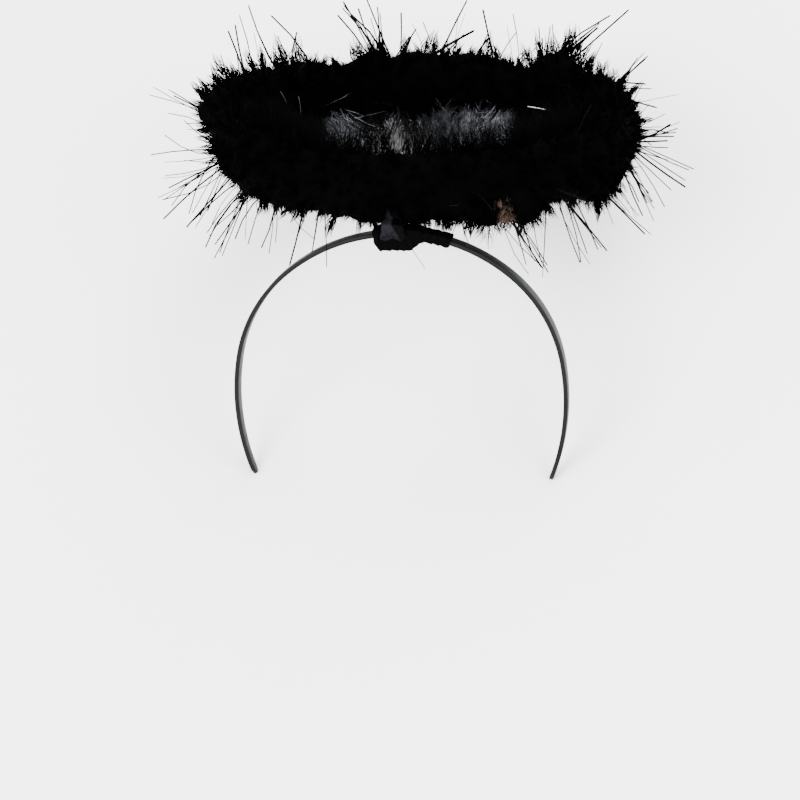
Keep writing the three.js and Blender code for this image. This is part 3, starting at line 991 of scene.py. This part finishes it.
def fuzz_barbs(sizes):
    """Short loose barbs between the plumes, as two points each, with their angle round the ring."""
    random = np.random.default_rng(29)
    count = sizes.fuzz_count
    angle = random.uniform(0, 2 * np.pi, count)
    tube_angle = random.uniform(0, 2 * np.pi, count)
    outward, along, radial = ring_directions(angle, tube_angle)
    depth = sizes.down_radius * round_ring("share", angle) * random.uniform(0.86, 1.06, count)
    depth = depth + 0.6 * tuft_height(angle, tube_angle)
    root = tube_centre(sizes, outward, angle) + radial * depth[:, None]
    heading = unit(radial + along * 0.35 + random.normal(0, 0.5, (count, 3)))
    length = sizes.fuzz_length * random.uniform(0.45, 1.0, count)
    points = np.stack([root, root + heading * length[:, None]], axis=1)
    return keep_clear(sizes, moved(points, ring_frame(sizes))), angle


def warm_places(sizes):
    """A row of places along the brown plume: low on the front of the ring, on the +X side of the stem."""
    angle, tube_angle = np.radians(np.linspace([27.0, -14.0], [31.0, -74.0], 8)).T
    outward, _, radial = ring_directions(angle, tube_angle)
    return moved(outward * sizes.ring_radius + radial * sizes.plume_reach, ring_frame(sizes)).tolist()


def make_marabou(sizes, colours):
    """The plumes and the fuzz between them, in pieces round the ring."""
    plumes, plume_angle, plume_width = plume_barbs(sizes)
    fuzz, fuzz_angle = fuzz_barbs(sizes)
    material = feather_finish("marabou_feather", colours.feather, colours.feather_warm, warm_places(sizes))
    names = ("front_right", "right", "back_right", "back_left", "left", "front_left")

    def part_of(angle):
        return np.floor(np.mod(angle, 2 * np.pi) / (2 * np.pi) * len(names)).astype(int)

    for number, name in enumerate(names):
        here = part_of(plume_angle) == number
        curved = plumes[here].reshape(-1, 3, 3)
        straight = fuzz[part_of(fuzz_angle) == number]
        curved_widths = plume_width[here].reshape(-1, 1) * np.array([[1.0, 1.0, 0.0]])
        straight_widths = np.tile([[0.8, 0.0]], (len(straight), 1)) * sizes.barb_width
        vertices, triangles = strand_arrays(curved, curved_widths)
        more, more_triangles = strand_arrays(straight, straight_widths)
        piece = mesh_piece(
            "marabou_" + name,
            np.concatenate([vertices, more]),
            np.concatenate([triangles, more_triangles + len(vertices)]),
        )
        finish_piece(piece, "marabou_" + name, material, "marabou_ring")


def wisp_lines(sizes, random, angle, tube_angle, length):
    """Curled wisps as (wisps, stations, 3), from the down at angles round the ring and round its tube."""
    count, stations = len(angle), 4
    lean_spread, scatter, most_swing, most_ripple = 0.2, 0.16, 0.16, 0.08
    outward, along, radial = ring_directions(angle, tube_angle)
    depth = sizes.down_radius * round_ring("share", angle) * random.uniform(0.8, 1.0, count)
    root = tube_centre(sizes, outward, angle) + radial * depth[:, None]
    clump = np.sin(17 * angle) + np.sin(29 * angle + 1)
    heading = unit(radial + along * (0.22 * clump + random.normal(0, lean_spread, count))[:, None])
    heading = unit(heading + random.normal(0, scatter, (count, 3)))
    share = np.linspace(0, 1, stations)
    swing = sideways(random, heading, most_swing)
    ripple = unit(np.cross(heading, swing)) * random.normal(0, most_ripple, (count, 1))
    points = root[:, None] + np.zeros((stations, 1))
    for direction, travel in ((heading, share), (swing, share**2), (ripple, np.sin(5 * share))):
        points = points + (direction * length[:, None])[:, None] * travel[:, None]
    return keep_clear(sizes, moved(points, ring_frame(sizes)))


def patch_at(angle, at, wide):
    """1 at a place round the ring and 0 away from it, for angles in radians and a place in degrees."""
    return np.exp(-(((np.degrees(angle) - at) / wide) ** 4))


def light_in_hole(angle):
    """How much light comes through the down at angles round the ring, in radians."""
    patches = zip(*LIGHT_IN_HOLE.values())
    return np.max([light * patch_at(angle, at, wide) for at, wide, light in patches], axis=0)


def make_wisps(sizes, colours):
    """Loose down in the hole: long wisps that hang from the back of the ring, and short curls in front."""
    back_start, back_end, front_start, front_end = 116, 262, -62, 66
    hanging_tube, curling_tube = -122, 122
    random = np.random.default_rng(41)
    back = np.radians(random.uniform(back_start, back_end, sizes.wisp_count))
    wide_gap = patch_at(back, 200.5, 5)
    small_gap = patch_at(back, 189.3, 1.8)
    kept = random.uniform(0, 1, len(back)) > 0.92 * wide_gap + 0.95 * small_gap
    back = back[kept]
    shorter = 1 - 0.5 * wide_gap[kept]
    drop = sizes.wisp_length * random.uniform(0.35, 0.95, len(back)) * shorter
    hanging = wisp_lines(sizes, random, back, np.radians(random.normal(hanging_tube, 16, len(back))), drop)
    front = np.radians(random.uniform(front_start, front_end, sizes.wisp_count // 3))
    front = front[random.uniform(0, 1, len(front)) > 0.95 * patch_at(front, -2, 6)]
    rise = sizes.wisp_length * random.uniform(0.35, 0.66, len(front))
    curls = wisp_lines(sizes, random, front, np.radians(random.normal(curling_tube, 18, len(front))), rise)
    points = np.concatenate([hanging, curls])
    stations = points.shape[1]
    widths = np.tile(np.interp(np.arange(stations), [0, stations - 1], [0.9, 0.3]), (len(points), 1))
    vertices, triangles = strand_arrays(points, widths * sizes.barb_width)
    piece = mesh_piece("marabou_wisps", vertices, triangles)
    along = np.repeat([0.15, 0.8, 1.0, 0.6], [3, 3, 3, 1])
    light = np.outer(light_in_hole(back) * random.uniform(0.4, 1.0, len(back)), along).ravel()
    set_attribute(piece, "light", np.append(light, np.zeros(len(front) * len(along))))
    finish_piece(piece, "marabou_wisps", wisp_finish(colours.wisp), "marabou_ring")


def make_down(sizes, colours):
    """The dense down close to the hoop, which the plumes grow from."""
    start_piece()
    bpy.ops.mesh.primitive_torus_add(
        major_radius=sizes.ring_radius, minor_radius=sizes.down_radius, major_segments=260, minor_segments=48
    )
    piece = bpy.context.object
    places = vertex_places(piece)
    angle = np.arctan2(places[:, 0], -places[:, 1])
    level = np.zeros_like(angle)
    outward = ring_directions(angle, level)[0]
    from_hoop = places - outward * sizes.ring_radius
    tube_angle = np.arctan2(places[:, 2], np.einsum("pc,pc->p", from_hoop, outward))
    radius = sizes.down_radius * round_ring("share", angle) + 0.6 * tuft_height(angle, tube_angle)
    middle = tube_centre(sizes, outward, angle)
    set_vertex_places(piece, middle + unit(from_hoop) * radius[:, None])
    lumps = bpy.data.textures.new("down lumps", "CLOUDS")
    lump_size, lump_height = 0.005, 0.005
    lumps.noise_scale = lump_size
    lumps.noise_depth = 3
    apply_modifier(piece, "Lumps", "DISPLACE", texture=lumps, strength=lump_height, mid_level=0.5)
    piece.data.transform(ring_frame(sizes))
    set_vertex_places(piece, keep_clear(sizes, vertex_places(piece)))
    smooth_by_angle(piece, 180)
    material = feather_finish("marabou_down", colours.feather, colours.feather_warm, warm_places(sizes))
    finish_piece(piece, "marabou_down", material, "marabou_ring")


def strand_rows(sizes, random):
    """Each strand's place, lean, curl, length and width, in the fans first and then the loose ones."""
    loose = sizes.loose_strands
    at = random.uniform(0, 2 * np.pi, loose)
    single = {
        "at": at,
        "apart": np.zeros(loose),
        "around": np.radians(15 - 65 * np.cos(at) + random.normal(0, 50, loose)),
        "lean": random.normal(0, 0.3, loose),
        "curl": random.normal(0, 0.1, loose),
        "length": sizes.strand_length * random.uniform(0.6, 0.75, loose),
        "strands": np.ones(loose),
        "wide": np.full(loose, 0.8),
    }
    rows = {}
    for column, values in single.items():
        listed = np.radians(FANS[column]) if column in ("at", "apart", "around") else FANS[column]
        rows[column] = np.concatenate([listed, values])
    strands = rows.pop("strands").astype(int)
    rows = {column: np.repeat(values, strands) for column, values in rows.items()}
    count = strands.sum()
    fan_out, most_around = 2.6 * rows["apart"], 0.19
    rows["at"] += rows["apart"] * random.normal(0, 0.7, count)
    rows["around"] += np.clip(fan_out, 0, most_around) * random.normal(0, 1, count)
    rows["lean"] += fan_out * random.normal(0, 1, count)
    rows["length"] *= random.uniform(0.78, 1.0, count)
    return rows


def tinsel_lines(sizes):
    """The strands' centrelines as (strands, stations, 3), off the band and the floor, and their widths."""
    off_hoop, floor_gap, most_bow = 0.0023, 0.0008, 0.0022
    band_half, over_band = 0.009, 0.004
    room = np.array([0.149, 0.158, 0.164])
    random = np.random.default_rng(5)
    rows = strand_rows(sizes, random)
    count, stations = len(rows["at"]), 6
    outward, along, radial = ring_directions(rows["at"], rows["around"])
    heading = unit(radial + along * rows["lean"][:, None])
    bow = sideways(random, heading, most_bow)
    share = np.append(np.linspace(0, 0.985, stations - 1), 1.0)
    start = outward * (sizes.ring_radius + off_hoop)
    curl = along[:, None] * np.outer(rows["curl"], share**2)[..., None]
    ahead = heading[:, None] * share[None, :, None] + curl
    bowed = bow[:, None] * (4 * share * (1 - share))[None, :, None]
    points = moved(start[:, None] + ahead * rows["length"][:, None, None] + bowed, ring_frame(sizes))
    points[..., 2] = np.maximum(points[..., 2], floor_gap)
    spread = points[:, -1] - points[:, 0]
    limit = np.where(spread > 0, room, -room) - points[:, 0]
    kept = np.clip((limit / np.where(spread == 0, 1e-9, spread)).min(axis=1), 0, 1)
    points = points[:, :1] + (points - points[:, :1]) * kept[:, None, None]
    worn = moved(points, WORN.inverted())
    at_band = (np.abs(worn[..., 1]) < band_half) & (worn[..., 2] < over_band)
    clear = ~at_band.any(axis=1)
    return points[clear], rows["wide"][clear]


def glint_lines(sizes, stations):
    """The strands that lie on the feathers: their centrelines, widths and the brightness of their painted
    glints.
    """
    over_plumes = 0.002
    glints = {column: values[:, None] for column, values in GLINTS.items()}
    share = np.linspace(0, 1, stations)
    angle = np.radians(glints["at"] + (glints["to_at"] - glints["at"]) * share)
    tube_angle = np.radians(glints["around"] + (glints["to_around"] - glints["around"]) * share)
    outward, _, radial = ring_directions(angle, tube_angle)
    points = outward * sizes.ring_radius + radial * (sizes.plume_reach + over_plumes)
    return moved(points, ring_frame(sizes)), glints["wide"][:, 0], glints["bright"][:, 0]


def make_tinsel(sizes, colours):
    """Thin strands of film that stick out through the feathers, each with a slow twist."""
    points, wide = tinsel_lines(sizes)
    lying, lying_wide, bright = glint_lines(sizes, points.shape[1])
    bright = np.append(np.zeros(len(points)), bright)
    points, wide = np.concatenate([points, lying]), np.append(wide, lying_wide)
    count, stations, _ = points.shape
    random = np.random.default_rng(17)
    share = np.linspace(0, 1, stations)
    taper = np.where(bright[:, None] > 0, 1 - 0.8 * share, 1 - 0.1 * share)
    widths = wide[:, None] * taper * sizes.strand_width
    start = random.uniform(0, 2 * np.pi, (count, 1))
    twist = start + random.normal(0, 1.2, (count, 1)) * share
    vertices, triangles = strand_arrays(points, widths, 0.65, 4, twist)
    piece = mesh_piece("tinsel_strands", vertices, triangles)
    # The brightness of each strand's painted glint, which the film's material reads
    set_attribute(piece, "glint", np.repeat(bright, len(vertices) // count))
    finish_piece(piece, "tinsel_strands", film_finish(colours.film), "tinsel")


def make_camera():
    """The camera at the photograph's angle, found from the part's own landmarks in the worn frame."""
    azimuth, elevation, roll = math.radians(8.5), math.radians(14.0), math.radians(-1.05)
    aim = Vector((-0.0006, 0, -0.0844))
    distance, lens = 1.665, 153.2
    ahead = Vector(
        (
            -math.sin(azimuth) * math.cos(elevation),
            math.cos(azimuth) * math.cos(elevation),
            -math.sin(elevation),
        )
    )
    right = Vector((math.cos(azimuth), math.sin(azimuth), 0))
    upright = right.cross(ahead)
    turned_right = right * math.cos(roll) + upright * math.sin(roll)
    turned_up = upright * math.cos(roll) - right * math.sin(roll)
    data = bpy.data.cameras.new("camera")
    data.lens = lens
    data.sensor_width = 36
    data.clip_start, data.clip_end = 0.05, 20
    camera = bpy.data.objects.new("camera", data)
    bpy.context.scene.collection.objects.link(camera)
    turn = Matrix((turned_right, turned_up, -ahead)).transposed().to_4x4()
    camera.matrix_world = WORN @ Matrix.Translation(aim - ahead * distance) @ turn
    bpy.context.scene.camera = camera


def make_light(name, place, size, power):
    """A square soft light that faces the part."""
    data = bpy.data.lights.new(name, "AREA")
    data.shape = "SQUARE"
    data.size = size
    data.energy = power
    light = bpy.data.objects.new(name, data)
    bpy.context.scene.collection.objects.link(light)
    light.location = place
    light.rotation_mode = "QUATERNION"
    light.rotation_quaternion = (Vector(LAMP_TARGET) - Vector(place)).to_track_quat("-Z", "Y")


def make_floor(colours):
    """A pale floor far larger than the view."""
    start_piece()
    bpy.ops.mesh.primitive_plane_add(size=12, location=(0, 0, 0))
    floor = bpy.context.object
    floor.name = "floor"
    floor.data.materials.append(floor_finish(colours.floor))


def make_world():
    """Even pale surroundings."""
    world = bpy.data.worlds.new("studio")
    world.use_nodes = True
    background = next(n for n in world.node_tree.nodes if n.type == "BACKGROUND")
    background.inputs["Color"].default_value = (1, 1, 1, 1)
    background.inputs["Strength"].default_value = 2.75
    bpy.context.scene.world = world


class HALO_OT_stage(bpy.types.Operator):
    """Add the camera, the floor and the studio light"""

    bl_idname = "halo.stage"
    bl_label = "Stage"

    def execute(self, context):
        make_camera()
        make_floor(context.scene.halo_colours)
        make_world()
        for lamp in LAMPS:
            make_light(**lamp)
        return {"FINISHED"}


class HALO_OT_headband(bpy.types.Operator):
    """Model the plastic headband"""

    bl_idname = "halo.headband"
    bl_label = "Headband"

    def execute(self, context):
        make_headband(context.scene.halo_sizes, context.scene.halo_colours)
        return {"FINISHED"}


class HALO_OT_binding(bpy.types.Operator):
    """Wind the tape round the band and the wire's legs"""

    bl_idname = "halo.binding"
    bl_label = "Binding tape"

    def execute(self, context):
        make_binding(context.scene.halo_sizes, context.scene.halo_colours)
        return {"FINISHED"}


class HALO_OT_stem(bpy.types.Operator):
    """Give the wire its finish and wind the ribbon up its stem"""

    bl_idname = "halo.stem"
    bl_label = "Stem"

    def execute(self, context):
        dress_wire(context.scene.halo_colours)
        make_ribbon(context.scene.halo_sizes, context.scene.halo_colours)
        return {"FINISHED"}


class HALO_OT_marabou(bpy.types.Operator):
    """Grow the down and the plumes of the feather ring"""

    bl_idname = "halo.marabou"
    bl_label = "Marabou"

    def execute(self, context):
        make_down(context.scene.halo_sizes, context.scene.halo_colours)
        make_marabou(context.scene.halo_sizes, context.scene.halo_colours)
        make_wisps(context.scene.halo_sizes, context.scene.halo_colours)
        return {"FINISHED"}


class HALO_OT_tinsel(bpy.types.Operator):
    """Add the tinsel strands"""

    bl_idname = "halo.tinsel"
    bl_label = "Tinsel"

    def execute(self, context):
        make_tinsel(context.scene.halo_sizes, context.scene.halo_colours)
        return {"FINISHED"}


OPERATORS = (
    HALO_OT_stage,
    HALO_OT_headband,
    HALO_OT_binding,
    HALO_OT_stem,
    HALO_OT_marabou,
    HALO_OT_tinsel,
)


class HALO_PT_panel(bpy.types.Panel):
    """Sizes, colours and pieces of the halo headband."""

    bl_label = "Halo Headband"
    bl_space_type = "VIEW_3D"
    bl_region_type = "UI"
    bl_category = "Halo"

    def draw(self, context):
        for group in (context.scene.halo_sizes, context.scene.halo_colours):
            box = self.layout.box()
            for name in group.bl_rna.properties.keys():
                if name not in ("rna_type", "name"):
                    box.prop(group, name)
        for operator in OPERATORS:
            self.layout.operator(operator.bl_idname)


CLASSES = (HaloSizes, HaloColours, *OPERATORS, HALO_PT_panel)


def register():
    """Registers the add-on's classes and its scene properties."""
    for cls in CLASSES:
        bpy.utils.register_class(cls)
    bpy.types.Scene.halo_sizes = bpy.props.PointerProperty(type=HaloSizes)
    bpy.types.Scene.halo_colours = bpy.props.PointerProperty(type=HaloColours)


def unregister():
    """Removes the scene properties and the add-on's classes."""
    del bpy.types.Scene.halo_colours
    del bpy.types.Scene.halo_sizes
    for cls in reversed(CLASSES):
        bpy.utils.unregister_class(cls)


def main():
    """Builds everything in order."""
    register()
    bpy.ops.halo.stage()
    bpy.ops.halo.headband()
    bpy.ops.halo.binding()
    bpy.ops.halo.stem()
    bpy.ops.halo.marabou()
    bpy.ops.halo.tinsel()


if __name__ == "__main__":
    main()
